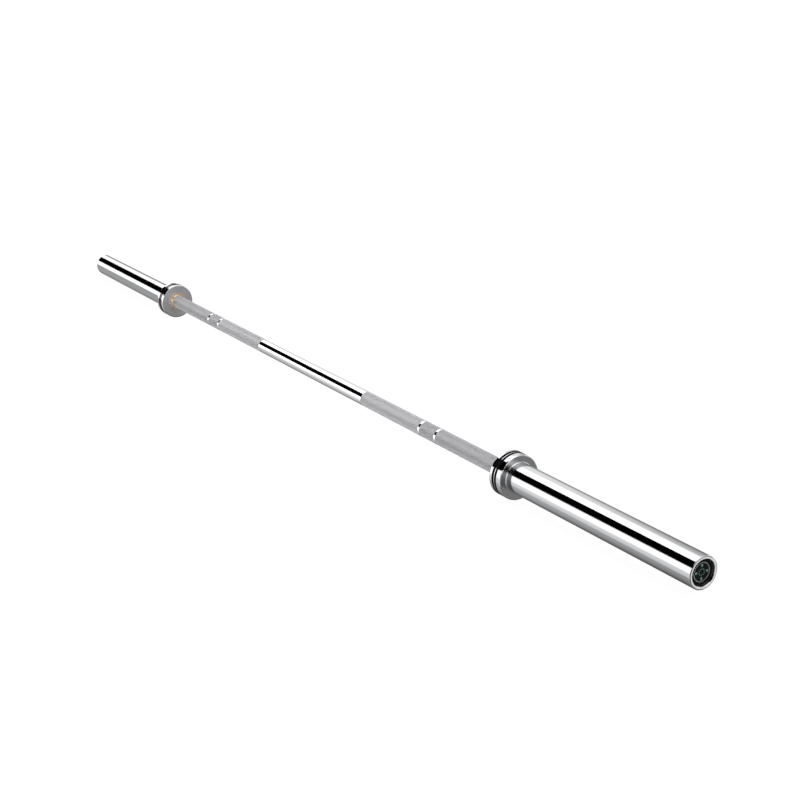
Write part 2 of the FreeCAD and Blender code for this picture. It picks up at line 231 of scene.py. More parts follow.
BRIGHT_CHROME = Finish(
    "bright_chrome", dark=(0.545, 0.55, 0.56), light=(0.575, 0.58, 0.59), metallic=1.0,
    smoothest=0.03, roughest=0.06, grain=Grain.TURNED, grain_size=0.6 * MM, relief=0.00004 * MM)
TURNED_CHROME = Finish(
    "turned_chrome", dark=(0.37, 0.37, 0.38), light=(0.48, 0.48, 0.49), metallic=1.0,
    smoothest=0.15, roughest=0.21, grain=Grain.TURNED, grain_size=0.35 * MM, relief=0.001 * MM)
GROUND_CHROME = Finish(
    "ground_chrome", dark=(0.44, 0.435, 0.45), light=(0.56, 0.555, 0.57), metallic=0.62,
    smoothest=0.3, roughest=0.4, grain=Grain.TURNED, grain_size=0.35 * MM, relief=0.003 * MM)
CUT_RIM = Finish(
    "cut_rim", dark=(0.84, 0.84, 0.85), light=(0.94, 0.94, 0.95), metallic=0.35,
    smoothest=0.42, roughest=0.55, grain=Grain.TURNED, grain_size=0.35 * MM, relief=0.003 * MM)
# Painted shade: a near-black finish with no gloss on the chrome groove walls and floors, for the shade and
# dark reflections inside the grooves.
PAINTED_GROOVE_SHADE = Finish(
    "painted_groove_shade", dark=(0.006, 0.006, 0.007), light=(0.02, 0.02, 0.021), metallic=0.0,
    smoothest=0.4, roughest=0.6, grain=Grain.TURNED, grain_size=0.3 * MM, relief=0.004 * MM, specular=0.0)
POLISHED_STEEL = Finish(
    "polished_steel", dark=(0.80, 0.805, 0.81), light=(0.84, 0.845, 0.85), metallic=1.0,
    smoothest=0.04, roughest=0.08, grain=Grain.TURNED, grain_size=0.5 * MM, relief=0.0001 * MM)
KNURLED_STEEL = Finish(
    "knurled_steel", dark=(0.42, 0.42, 0.43), light=(0.54, 0.54, 0.555), metallic=0.6,
    smoothest=0.58, roughest=0.72, grain=Grain.SPECKLED, grain_size=0.25 * MM, relief=0.006 * MM)
PALE_KNURL = Finish(
    "pale_knurl", dark=(0.48, 0.48, 0.495), light=(0.61, 0.61, 0.63), metallic=0.6,
    smoothest=0.58, roughest=0.72, grain=Grain.SPECKLED, grain_size=0.25 * MM, relief=0.006 * MM)
BRONZE = Finish(
    "bronze", dark=(0.70, 0.51, 0.33), light=(0.90, 0.72, 0.51), metallic=0.6,
    smoothest=0.2, roughest=0.34, grain=Grain.TURNED, grain_size=0.3 * MM, relief=0.004 * MM)
HARDENED_STEEL = Finish(
    "hardened_steel", dark=(0.26, 0.26, 0.27), light=(0.38, 0.38, 0.39), metallic=1.0,
    smoothest=0.2, roughest=0.35, grain=Grain.TURNED, grain_size=0.3 * MM, relief=0.003 * MM)
SPRING_STEEL = Finish(
    "spring_steel", dark=(0.014, 0.014, 0.015), light=(0.042, 0.042, 0.044), metallic=0.7,
    smoothest=0.3, roughest=0.48, grain=Grain.SPECKLED, grain_size=0.2 * MM, relief=0.01 * MM, specular=0.2)
BLACK_PLASTIC = Finish(
    "black_plastic", dark=(0.002, 0.002, 0.0022), light=(0.006, 0.006, 0.0065), metallic=0.0,
    smoothest=0.35, roughest=0.5, grain=Grain.SPECKLED, grain_size=0.3 * MM, relief=0.015 * MM,
    specular=0.12)
DISC_FILM = Finish(
    "disc_film", dark=(0.0012, 0.0022, 0.002), light=(0.003, 0.0055, 0.0048), metallic=0.0,
    smoothest=0.28, roughest=0.4, grain=Grain.SPECKLED, grain_size=0.4 * MM, relief=0.004 * MM,
    specular=0.12)
GREEN_INK = Finish(
    "green_ink", dark=(0.11, 0.22, 0.185), light=(0.18, 0.33, 0.28), metallic=0.0,
    smoothest=0.35, roughest=0.5, grain=Grain.SPECKLED, grain_size=0.25 * MM, relief=0.002 * MM,
    specular=0.12)
PALE_INK = Finish(
    "pale_ink", dark=(0.36, 0.40, 0.39), light=(0.50, 0.55, 0.535), metallic=0.0,
    smoothest=0.35, roughest=0.5, grain=Grain.SPECKLED, grain_size=0.25 * MM, relief=0.002 * MM,
    specular=0.12)


@dataclass(frozen=True)
class Corner:
    """One corner of a turned outline, and the kind of face that runs from it to the next one."""

    along: float
    radius: float
    rounding: float = 0.0
    surface: Surface = Surface.MAIN


@dataclass(frozen=True)
class Ring:
    """One ring of points on a turned piece."""

    along: float
    radius: float
    sharp: bool
    surface: Surface


class Lathe:
    """Turns closed outlines about the bar's axis."""

    segments = 160
    arc_step = math.radians(12)
    support = 0.25 * MM
    long_face = 1 * MM
    # How much of a rounded edge beside a groove the groove's painted shade covers.
    painted_shade_share = 0.88

    def mesh(self, name: str, outline: list[Corner]) -> bpy.types.Mesh:
        """Turn an outline into a closed mesh.

        Args:
            name: the mesh's name.
            outline: its corners in order; the last one runs back to the first.

        Returns:
            The mesh, smooth but for its sharp corners, with a material number for each face.
        """
        rings = self.supported(self.rounded(outline))
        angles = np.arange(self.segments) * FULL_TURN / self.segments
        points: list[Place] = []
        numbers: list[list[int]] = []
        owners: list[int] = []
        for index, ring in enumerate(rings):
            turns = angles if ring.radius > TINY else angles[:1]
            first = len(points)
            points += [(ring.along, ring.radius * math.sin(a), ring.radius * math.cos(a)) for a in turns]
            numbers.append(list(range(first, len(points))))
            owners += [index] * len(turns)
        faces, kinds = self.strips(rings, numbers)
        mesh = bpy.data.meshes.new(name)
        mesh.from_pydata(points, [], faces)
        mesh.polygons.foreach_set("material_index", kinds)
        self.mark_sharp(mesh, rings, np.array(owners))
        return face_outwards(mesh)

    def rounded(self, outline: list[Corner]) -> list[Ring]:
        """Replace each rounded corner by the rings of an arc.

        Args:
            outline: the corners.

        Returns:
            The rings.
        """
        rings: list[Ring] = []
        for index, corner in enumerate(outline):
            before, after = outline[index - 1], outline[(index + 1) % len(outline)]
            if corner.rounding > 0:
                rings += self.arc(before, corner, after)
            else:
                rings.append(Ring(corner.along, corner.radius, True, corner.surface))
        return rings

    def arc(self, before: Corner, corner: Corner, after: Corner) -> list[Ring]:
        """Work out the rings of one rounded corner.

        Args:
            before: the corner before it.
            corner: the corner to round.
            after: the corner after it.

        Returns:
            The rings along the arc; where it meets a groove, the groove's painted shade takes most of it, and
            otherwise it is polished wherever one of its two faces is.
        """
        middle = Vector((corner.along, corner.radius))
        back = (Vector((before.along, before.radius)) - middle).normalized()
        ahead = (Vector((after.along, after.radius)) - middle).normalized()
        half = back.angle(ahead) / 2
        centre = middle + (back + ahead).normalized() * (corner.rounding / math.sin(half))
        reach = corner.rounding / math.tan(half)
        start = middle + back * reach - centre
        sweep = start.angle_signed(middle + ahead * reach - centre)
        steps = max(2, math.ceil(abs(sweep) / self.arc_step))
        first, second = before.surface, corner.surface
        if Surface.GROOVE not in (first, second):
            first = second = min(first, second, key=lambda kind: kind.value)
        # The groove's painted shade runs over most of the arc.
        change = steps * (self.painted_shade_share if first is Surface.GROOVE else 1 - self.painted_shade_share)
        rings = []
        for step in range(steps + 1):
            point = centre + Matrix.Rotation(-sweep * step / steps, 2) @ start
            kind = first if step < change else second
            rings.append(Ring(point.x, point.y, False, corner.surface if step == steps else kind))
        return rings

    def supported(self, rings: list[Ring]) -> list[Ring]:
        """Add a ring close to both ends of each long face, so that the face stays flat when shaded.

        Args:
            rings: the rings of the outline.

        Returns:
            The rings with the added ones.
        """
        made: list[Ring] = []
        for ring, following in zip(rings, rings[1:] + rings[:1]):
            made.append(ring)
            step = Vector((following.along - ring.along, following.radius - ring.radius))
            if step.length < self.long_face or max(ring.radius, following.radius) < TINY:
                continue
            share = self.support / step.length
            for part in (share, 1 - share):
                along, radius = ring.along + step.x * part, ring.radius + step.y * part
                made.append(Ring(along, radius, False, ring.surface))
        return made

    @staticmethod
    def strips(rings: list[Ring], numbers: list[list[int]]) -> tuple[list[list[int]], list[int]]:
        """Join each ring to the next one by faces.

        Args:
            rings: the rings.
            numbers: the point numbers of each ring.

        Returns:
            The faces, and the material number of each.
        """
        faces: list[list[int]] = []
        kinds: list[int] = []
        for ring, near, far in zip(rings, numbers, numbers[1:] + numbers[:1]):
            count = max(len(near), len(far))
            if count == 1:
                continue
            for index in range(count):
                following = (index + 1) % count
                loop = [near[index % len(near)], near[following % len(near)],
                        far[following % len(far)], far[index % len(far)]]
                faces.append(list(dict.fromkeys(loop)))
                kinds.append(ring.surface.value)
        return faces, kinds

    @staticmethod
    def mark_sharp(mesh: bpy.types.Mesh, rings: list[Ring], owners: np.ndarray) -> None:
        """Mark the edges that run round the sharp rings.

        Args:
            mesh: the mesh to mark.
            rings: its rings.
            owners: the ring number of each point.
        """
        ends = np.zeros(len(mesh.edges) * 2, int)
        mesh.edges.foreach_get("vertices", ends)
        ends = owners[ends.reshape(-1, 2)]
        is_sharp = np.array([ring.sharp for ring in rings])
        marks = (ends[:, 0] == ends[:, 1]) & is_sharp[ends[:, 0]]
        mesh.attributes.new("sharp_edge", "BOOLEAN", "EDGE").data.foreach_set("value", marks)


def face_outwards(mesh: bpy.types.Mesh) -> bpy.types.Mesh:
    """Merge a mesh's double points and point its faces outwards.

    Args:
        mesh: the mesh to mend.

    Returns:
        The same mesh.
    """
    work = bmesh.new()
    work.from_mesh(mesh)
    bmesh.ops.remove_doubles(work, verts=work.verts, dist=TINY)
    bmesh.ops.recalc_face_normals(work, faces=work.faces)
    work.to_mesh(mesh)
    work.free()
    return mesh


def add_piece(name: str, mesh: bpy.types.Mesh, body: str, finishes: list[Finish],
              stands_for: str | None = None) -> None:
    """Put a finished mesh into the scene as a piece of the bar.

    Args:
        name: the piece's name.
        mesh: its mesh, in place.
        body: the body that it moves with.
        finishes: its finishes, in the order of its face kinds.
        stands_for: the node that it replaces, if any.
    """
    piece = bpy.data.objects.new(name, mesh)
    bpy.context.scene.collection.objects.link(piece)
    for finish in finishes[len(mesh.materials):]:
        mesh.materials.append(finish.material())
    for number, finish in enumerate(finishes):
        mesh.materials[number] = finish.material()
    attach(piece, body)
    if stands_for:
        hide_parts(stands_for)
    LOG.info("%s: %d faces, moves with %s", name, len(mesh.polygons), body)


def dress_node(node: str, finish: Finish) -> None:
    """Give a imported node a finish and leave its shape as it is.

    Args:
        node: the node's name.
        finish: its finish.
    """
    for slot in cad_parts[node].material_slots:
        slot.material = finish.material()
    LOG.info("%s: kept, in %s", node, finish.name)


class GrownMesh:
    """A mesh that a geometry node tree makes from named sizes."""

    def __init__(self, name: str, sizes: dict[str, float | int]) -> None:
        """Start the tree with its inputs.

        Args:
            name: the tree's name.
            sizes: the inputs and their values; a whole number makes a counting input.
        """
        self.group = bpy.data.node_groups.new(name, "GeometryNodeTree")
        self.nodes = NodeTree(self.group)
        self.sizes = sizes
        interface = self.group.interface
        interface.new_socket("Geometry", in_out="OUTPUT", socket_type="NodeSocketGeometry")
        self.keys = {}
        for label, size in sizes.items():
            kind = "NodeSocketInt" if isinstance(size, int) else "NodeSocketFloat"
            self.keys[label] = interface.new_socket(label, in_out="INPUT", socket_type=kind).identifier
        self.inputs = self.nodes.add("NodeGroupInput").outputs

    def finish(self, geometry: Socket, finish: Finish) -> None:
        """End the tree.

        Args:
            geometry: what it has made.
            finish: the finish of all of it.
        """
        whole = self.nodes.add("GeometryNodeRealizeInstances", {0: geometry})
        dressed = self.nodes.add("GeometryNodeSetMaterial", {
            "Geometry": whole.outputs[0], "Material": finish.material()})
        self.nodes.add("NodeGroupOutput", {0: dressed.outputs[0]})

    def mesh(self, name: str) -> bpy.types.Mesh:
        """Run the tree and keep its result as a plain mesh.

        Args:
            name: the mesh's name.

        Returns:
            The mesh.
        """
        seed = bpy.data.objects.new(name, bpy.data.meshes.new(name))
        bpy.context.scene.collection.objects.link(seed)
        modifier = seed.modifiers.new("grow", "NODES")
        modifier.node_group = self.group
        for label, size in self.sizes.items():
            modifier[self.keys[label]] = size
        graph = bpy.context.evaluated_depsgraph_get()
        mesh = bpy.data.meshes.new_from_object(seed.evaluated_get(graph), depsgraph=graph)
        bpy.data.objects.remove(seed)
        return face_outwards(mesh)


@dataclass(frozen=True)
class Knurl:
    """A band of diamond knurl round the shaft."""

    start: float
    end: float
    bore: float
    valley: float
    peak: float
    finish: Finish
    diamond_length: float = 1.9 * MM
    diamonds_around: int = 80

    def mesh(self, name: str) -> bpy.types.Mesh:
        """Grow the band.

        Args:
            name: the mesh's name.

        Returns:
            A closed tube with diamonds on its outside.
        """
        half_rows = 2 * round((self.end - self.start) / self.diamond_length)
        grown = GrownMesh(name, {
            "Start": self.start, "End": self.end, "Bore": self.bore, "Valley": self.valley,
            "Peak": self.peak, "Half Rows": half_rows, "Half Columns": 2 * self.diamonds_around,
        })
        self.wrap(grown)
        return grown.mesh(name)

    def wrap(self, grown: GrownMesh) -> None:
        """Wrap a grid round the shaft, with every other point raised to a diamond's peak.

        The grid's last three rows go down the band's outer end, back through its bore and up to its start.

        Args:
            grown: the tree to fill.
        """
        nodes, sizes, maths = grown.nodes, grown.inputs, grown.nodes.maths
        last, columns = sizes["Half Rows"], maths("ADD", sizes["Half Columns"], 1.0)
        grid = nodes.add("GeometryNodeMeshGrid", {
            "Vertices X": maths("ADD", last, 4.0), "Vertices Y": columns}).outputs[0]
        index = nodes.add("GeometryNodeInputIndex").outputs[0]
        row = maths("FLOOR", maths("DIVIDE", maths("ADD", index, 0.5), columns))
        column = maths("SUBTRACT", index, maths("MULTIPLY", row, columns))
        past_end = maths("SUBTRACT", row, last)

        inside = maths("MULTIPLY", maths("GREATER_THAN", row, 0.5), maths("LESS_THAN", past_end, -0.5))
        odd = maths("MODULO", maths("ADD", row, column), 2.0)
        raised = maths("MULTIPLY", inside, maths("SUBTRACT", 1.0, odd))
        outside = maths("ADD", sizes["Valley"], maths("MULTIPLY", raised, maths(
            "SUBTRACT", sizes["Peak"], sizes["Valley"])))
        in_bore = maths("MULTIPLY", maths("GREATER_THAN", past_end, 0.5), maths("LESS_THAN", past_end, 2.5))
        radius = nodes.ramp(in_bore, 0.0, 1.0, outside, sizes["Bore"])

        way_along = maths("MULTIPLY", maths("LESS_THAN", past_end, 1.5), maths(
            "DIVIDE", maths("MINIMUM", row, last), last))
        along = nodes.ramp(way_along, 0.0, 1.0, sizes["Start"], sizes["End"])
        angle = maths("MULTIPLY", column, maths("DIVIDE", FULL_TURN, sizes["Half Columns"]))
        place = nodes.add("ShaderNodeCombineXYZ", {
            0: along,
            1: maths("MULTIPLY", radius, maths("SINE", angle)),
            2: maths("MULTIPLY", radius, maths("COSINE", angle)),
        })
        wrapped = nodes.add("GeometryNodeSetPosition", {"Geometry": grid, "Position": place.outputs[0]})
        closed = nodes.add("GeometryNodeMergeByDistance", {
            "Geometry": wrapped.outputs[0], "Distance": TINY})
        split = nodes.add("GeometryNodeTriangulate", {"Mesh": closed.outputs[0]})
        flat = nodes.add("GeometryNodeSetShadeSmooth", {
            "Geometry": split.outputs[0], "Shade Smooth": False})
        grown.finish(flat.outputs[0], self.finish)


@dataclass(frozen=True)
class Ticks:
    """A ring of printed ticks on an end disc."""

    radius: float
    length: float
    width: float
    count: int
    finish: Finish
    thickness: float = 0.03 * MM

    def mesh(self, name: str, face: float) -> bpy.types.Mesh:
        """Grow the ring.

        Args:
            name: the mesh's name.
            face: where the disc's printed face is along the bar.

        Returns:
            The ticks, sunk by half their thickness into the face.
        """
        grown = GrownMesh(name, {
            "Face": face, "Radius": self.radius, "Length": self.length, "Width": self.width,
            "Thickness": self.thickness, "Count": self.count,
        })
        nodes, sizes = grown.nodes, grown.inputs
        circle = nodes.add("GeometryNodeMeshCircle", {
            "Vertices": sizes["Count"], "Radius": sizes["Radius"]})
        size = nodes.add("ShaderNodeCombineXYZ", {
            0: sizes["Length"], 1: sizes["Width"], 2: sizes["Thickness"]})
        tick = nodes.add("GeometryNodeMeshCube", {"Size": size.outputs[0]})
        outwards = nodes.add("FunctionNodeAlignRotationToVector", {
            "Vector": nodes.add("GeometryNodeInputPosition").outputs[0]}, axis="X")
        ring = nodes.add("GeometryNodeInstanceOnPoints", {
            "Points": circle.outputs[0], "Instance": tick.outputs[0], "Rotation": outwards.outputs[0]})
        place = nodes.add("ShaderNodeCombineXYZ", {0: sizes["Face"]})
        turned = nodes.add("GeometryNodeTransform", {
            "Geometry": ring.outputs[0], "Translation": place.outputs[0],
            "Rotation": (0.0, math.pi / 2, 0.0)})
        grown.finish(turned.outputs[0], self.finish)
        return grown.mesh(name)


@dataclass
class Shaft:
    """The bar itself: a polished core with knurled bands round it, and the pieces that it carries."""

    lathe: Lathe
    smooth_radius: float = 14 * MM
    valley_depth: float = 0.17 * MM
    peak_height: float = 0.15 * MM
    band_wall: float = 0.7 * MM
    band_gap: float = 0.01 * MM
    smooth_half: float = 208 * MM
    marks: Span = (405 * MM, 455 * MM)
    mark_width: float = 5 * MM
    knurl_margin: float = 4 * MM
    thrust_play: float = 0.3 * MM
    journal_radius: float = 13 * MM
    shoulder_round: float = 0.4 * MM
    end_round: float = 1 * MM
    edge_round: float = 0.12 * MM
    ring_groove_depth: float = 0.55 * MM
    ring_land: float = 3 * MM
    ring_play: float = 0.1 * MM

    def build(self) -> None:
        """Make the core and the bands, and dress what the shaft carries."""
        core = self.lathe.mesh("shaft_core", self.mirrored(self.half_outline()))
        add_piece("shaft_core", core, "bar", [POLISHED_STEEL], "shaft")
        for side in Side:
            for place, (start, end) in self.bands().items():
                name = f"{side.prefix}_{place}_knurl"
                finish = PALE_KNURL if place == "inner" else KNURLED_STEEL
                mesh = self.band(start, end, finish).mesh(name)
                mesh.transform(side.placing)
                add_piece(name, mesh, "bar", [finish], "shaft")
            dress_node(f"{side.prefix}_bronze_washer", BRONZE)
            dress_node(f"{side.prefix}_steel_washer", HARDENED_STEEL)
            dress_node(f"{side.prefix}_shaft_ring", SPRING_STEEL)

    def bands(self) -> dict[str, Span]:
        """Find the knurled bands of one side.

        Returns:
            The places along the bar where each band starts and ends, by its name.
        """
        collar_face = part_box("right_collar")[0].x
        edges = [self.smooth_half]
        for mark in self.marks:
            edges += [mark - self.mark_width / 2, mark + self.mark_width / 2]
        edges.append(collar_face - self.knurl_margin)
        return dict(zip(("inner", "middle", "outer"), zip(edges[::2], edges[1::2])))

    def band(self, start: float, end: float, finish: Finish) -> Knurl:
        """Lay out the knurl of one band, seated in its step of the core.

        Args:
            start: where the band starts along the bar.
            end: where it ends.
            finish: its finish.

        Returns:
            The knurl, a hair clear of the step on every side.
        """
        gap, smooth = self.band_gap, self.smooth_radius
        return Knurl(
            start + gap, end - gap, bore=smooth - self.band_wall + gap, valley=smooth - self.valley_depth,
            peak=smooth + self.peak_height, finish=finish)

    def half_outline(self) -> list[Corner]:
        """Draw the core's outline from the bar's middle outwards.

        Returns:
            The corners of the right half, from the first knurled band to the shaft's end.
        """
        smooth, bed = self.smooth_radius, self.smooth_radius - self.band_wall
        corners = []
        for start, end in self.bands().values():
            corners += [
                Corner(start, smooth, self.edge_round), Corner(start, bed),
                Corner(end, bed), Corner(end, smooth, self.edge_round),
            ]
        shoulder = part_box("right_collar")[0].x - self.thrust_play
        shaft_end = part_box("shaft")[1].x
        groove_end = shaft_end - self.ring_land
        groove_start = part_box("right_shaft_ring")[0].x - self.ring_play
        floor = self.journal_radius - self.ring_groove_depth
        return corners + [
            Corner(shoulder, smooth, self.shoulder_round),
            Corner(shoulder, self.journal_radius),
            Corner(groove_start, self.journal_radius),
            Corner(groove_start, floor),
            Corner(groove_end, floor),
            Corner(groove_end, self.journal_radius),
            Corner(shaft_end, self.journal_radius, self.end_round),
            Corner(shaft_end, 0.0),
        ]

    @staticmethod
    def mirrored(half: list[Corner]) -> list[Corner]:
        """Add the left half to an outline of the right one."""
        left = [Corner(-corner.along, corner.radius, corner.rounding) for corner in reversed(half)]
        return left + half


@dataclass
class SleeveAssembly:
    """One sleeve with its collar, bushings and capped end."""

    side: Side
    lathe: Lathe
    bore: float = 16 * MM
    bushing_bore: float = 13.05 * MM
    flange_radius: float = 20 * MM
    flange_thickness: float = 3 * MM
    bushing_round: float = 0.4 * MM
    sleeve_radius: float = 25 * MM
    seat_radius: float = 24 * MM
    collar_wall: float = 6 * MM
    chamber: float = 18.5 * MM
    cap_bore: float = 20 * MM
    ring_groove_radius: float = 21.25 * MM
    ring_groove_setback: float = 3.8 * MM
    rim_chamfer: float = 0.6 * MM
    cut_rim_radius: float = 22.9 * MM
    rim_fall: float = 0.6 * MM
    end_round: float = 1 * MM
    crisp_round: float = 0.15 * MM
    collar_width: float = 29 * MM
    collar_edge_round: float = 2.4 * MM
    groove_width: float = 4 * MM
    groove_depth: float = 2.8 * MM
    inner_land: float = 7.6 * MM
    rib: float = 3.4 * MM
    rib_round: float = 1.3 * MM
    lip_round: float = 0.5 * MM
    hub_height: float = 0.6 * MM
    hub_root_round: float = 1 * MM
    hub_edge_round: float = 0.3 * MM
    cap_skirt: float = 4 * MM
    cap_floor: float = 3.2 * MM
    cap_boss_rim: float = 0.4 * MM
    cap_edge_round: float = 0.5 * MM
    disc_clearance: float = 0.1 * MM
    disc_round: float = 0.08 * MM
    ring_bevel: float = 0.15 * MM
    ring_bevel_steps: int = 2
    ring_bevel_angle: float = math.radians(50)

    def build(self) -> None:
        """Make and dress every piece of this side."""
        self.turn_piece("sleeve", "tube", self.sleeve_outline(),
                        [BRIGHT_CHROME, CUT_RIM, PAINTED_GROOVE_SHADE])
        self.turn_piece("collar", "stop", self.collar_outline(),
                        [BRIGHT_CHROME, TURNED_CHROME, PAINTED_GROOVE_SHADE, GROUND_CHROME])
        self.turn_piece("inner_bushing", "flanged", self.bushing_outline(), [BRONZE])
        self.turn_piece("end_cap", "plug", self.cap_outline(), [BLACK_PLASTIC])
        self.turn_piece("end_disc", "film", self.disc_outline(), [DISC_FILM])
        self.print_disc()
        self.bevel_ring()
        dress_node(self.node("outer_bushing"), BRONZE)

    def node(self, kind: str) -> str:
        """Name this side's node of a kind."""
        return f"{self.side.prefix}_{kind}"

    def span(self, kind: str) -> Span:
        """Give where this side's node starts and ends, counted outwards from the bar's middle."""
        low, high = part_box(self.node(kind))
        return tuple(sorted((abs(low.x), abs(high.x))))

    def turn_piece(self, kind: str, form: str, outline: list[Corner],
                   finishes: list[Finish]) -> None:
        """Turn an outline into the piece that stands for a node.

        Args:
            kind: the node's name without its side.
            form: a word for the piece's form, added to the node's name.
            outline: the corners, counted outwards from the bar's middle.
            finishes: the finishes, in the order of the face kinds.
        """
        name = f"{self.node(kind)}_{form}"
        mesh = self.lathe.mesh(name, outline)
        mesh.transform(self.side.placing)
        add_piece(name, mesh, self.side.body, finishes, self.node(kind))

    def sleeve_outline(self) -> list[Corner]:
        """Draw the loading tube.

        Returns:
            The corners, from the collar's seat over the outside to the stepped and grooved end.
        """
        start, end = self.span("sleeve")
        hub_end = self.span("collar")[1]
        cap_seat, cap_face = self.span("end_cap")[0], self.span("cap_ring")[0]
        thrust_face = self.span("outer_bushing")[1]
        groove_end = end - self.ring_groove_setback
        crisp = self.crisp_round
        return [
            Corner(start, self.bore),
            Corner(start, self.seat_radius),
            Corner(hub_end, self.seat_radius),
            Corner(hub_end, self.sleeve_radius),
            Corner(end - self.rim_fall, self.sleeve_radius, self.end_round),
            Corner(end, self.cut_rim_radius, 0.0, Surface.FACED),
            Corner(end, self.cap_bore + self.rim_chamfer, crisp),
            Corner(end - self.rim_chamfer, self.cap_bore, crisp),
            # The retaining ring's groove takes painted shade.
            Corner(groove_end, self.cap_bore, 0.0, Surface.GROOVE),
            Corner(groove_end, self.ring_groove_radius, 0.0, Surface.GROOVE),
            Corner(cap_face, self.ring_groove_radius, 0.0, Surface.GROOVE),
            Corner(cap_face, self.cap_bore, 0.0, Surface.FACED),
            Corner(cap_seat, self.cap_bore, 0.0, Surface.FACED),
            Corner(cap_seat, self.chamber, 0.0, Surface.FACED),
            Corner(thrust_face, self.chamber, 0.0, Surface.FACED),
            Corner(thrust_face, self.bore, 0.0, Surface.FACED),
        ]

    def collar_outline(self) -> list[Corner]:
        """Draw the stop ring.

        Returns:
            The corners, with two grooves, the rib between them and the hub at the sleeve's root.
        """
        start, hub_end = self.span("collar")
        outer_face = start + self.collar_width
        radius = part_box(self.node("collar"))[1].z
        floor = radius - self.groove_depth
        hub = self.sleeve_radius + self.hub_height
        first_lip = start + self.inner_land
        rib_start = first_lip + self.groove_width
        rib_end = rib_start + self.rib
        last_lip = rib_end + self.groove_width
        edge, lip, crown = self.collar_edge_round, self.lip_round, self.rib_round
        return [
            Corner(start, self.flange_radius, self.crisp_round, Surface.GROUND),
            Corner(start, radius, edge),
            # Both grooves, with the rib's sides, take painted shade.
            Corner(first_lip, radius, lip, Surface.GROOVE),
            Corner(first_lip, floor, 0.0, Surface.GROOVE),
            Corner(rib_start, floor, 0.0, Surface.GROOVE),
            Corner(rib_start, radius, crown),
            Corner(rib_end, radius, crown, Surface.GROOVE),
            Corner(rib_end, floor, 0.0, Surface.GROOVE),
            Corner(last_lip, floor, 0.0, Surface.GROOVE),
            Corner(last_lip, radius, lip),
            Corner(outer_face, radius, edge, Surface.FACED),
            Corner(outer_face, hub, self.hub_root_round),
            Corner(hub_end, hub, self.hub_edge_round),
            Corner(hub_end, self.seat_radius),
            Corner(start + self.collar_wall, self.seat_radius),
            Corner(start + self.collar_wall, self.bore),
            Corner(start + self.flange_thickness, self.bore),
            Corner(start + self.flange_thickness, self.flange_radius),
        ]

    def bushing_outline(self) -> list[Corner]:
        """Draw the flanged bushing in the collar.

        Returns:
            The corners, from the flange's face to the bushing's inner end.
        """
        start, end = self.span("inner_bushing")
        shoulder = start + self.flange_thickness
        return [
            Corner(start, self.bushing_bore, self.bushing_round),
            Corner(start, self.flange_radius, self.bushing_round),
            Corner(shoulder, self.flange_radius),
            Corner(shoulder, self.bore),
            Corner(end, self.bore),
            Corner(end, self.bushing_bore, self.bushing_round),
        ]

    def cap_outline(self) -> list[Corner]:
        """Draw the plug in the sleeve's end.

        Returns:
            The corners, hollow behind and with a raised centre in front that seats the disc.
        """
        back, front = self.span("end_cap")
        shoulder = self.span("cap_ring")[0]
        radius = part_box(self.node("end_cap"))[1].z
        disc_back = self.span("end_disc")[0]
        disc_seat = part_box(self.node("end_disc"))[1].z + self.disc_clearance
        hollow = radius - self.cap_skirt
        return [
            Corner(back, hollow),
            Corner(back, radius, self.cap_edge_round),
            Corner(shoulder, radius, self.cap_edge_round),
            Corner(shoulder, disc_seat + self.cap_boss_rim),
            Corner(front, disc_seat + self.cap_boss_rim, self.disc_round),
            Corner(front, disc_seat, self.disc_round),
            Corner(disc_back, disc_seat),
            Corner(disc_back, 0.0),
            Corner(disc_back - self.cap_floor, 0.0),
            Corner(disc_back - self.cap_floor, hollow),
        ]

    def disc_outline(self) -> list[Corner]:
        """Draw the thin printed disc.

        Returns:
            The corners, from its back to its front.
        """
        back, front = self.span("end_disc")
        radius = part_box(self.node("end_disc"))[1].z
        return [
            Corner(back, 0.0),
            Corner(back, radius, self.disc_round),
            Corner(front, radius, self.disc_round),
            Corner(front, 0.0),
        ]

    def print_disc(self) -> None:
        """Put rings of plain ticks on the disc."""
        face = self.span("end_disc")[1]
        rings = {
            "outer_ticks": Ticks(
                radius=13.8 * MM, length=1.6 * MM, width=0.7 * MM, count=44, finish=PALE_INK),
            "quarter_bars": Ticks(
                radius=9.8 * MM, length=3.6 * MM, width=2.8 * MM, count=4, finish=GREEN_INK),
            "inner_ticks": Ticks(
                radius=4.8 * MM, length=2.2 * MM, width=0.8 * MM, count=10, finish=GREEN_INK),
        }
        for kind, ticks in rings.items():
            name = self.node(kind)
            mesh = ticks.mesh(name, face)
            mesh.transform(self.side.placing)
            add_piece(name, mesh, self.side.body, [ticks.finish])

    def bevel_ring(self) -> None:
        """Copy the retaining ring and break its edges."""
        node = self.node("cap_ring")
        name = f"{node}_sprung"
        mesh = face_outwards(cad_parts[node].data.copy())
        work = bpy.data.objects.new(name, mesh)
        bpy.context.scene.collection.objects.link(work)
        bevel = work.modifiers.new("edges", "BEVEL")
        bevel.width = self.ring_bevel
        bevel.segments = self.ring_bevel_steps
        bevel.limit_method = "ANGLE"
        bevel.angle_limit = self.ring_bevel_angle
        graph = bpy.context.evaluated_depsgraph_get()
        bevelled = bpy.data.meshes.new_from_object(work.evaluated_get(graph), depsgraph=graph)
        bpy.data.objects.remove(work)
        add_piece(name, bevelled, self.side.body, [SPRING_STEEL], node)


# Three of the studio's lists share this light from in front and above.
FRONT_LEVELS: Levels = ((-58, 0.46), (-46, 0.5), (-40, 0.95), (-16, 1.1), (-8, 2.0), (112, 2.0))


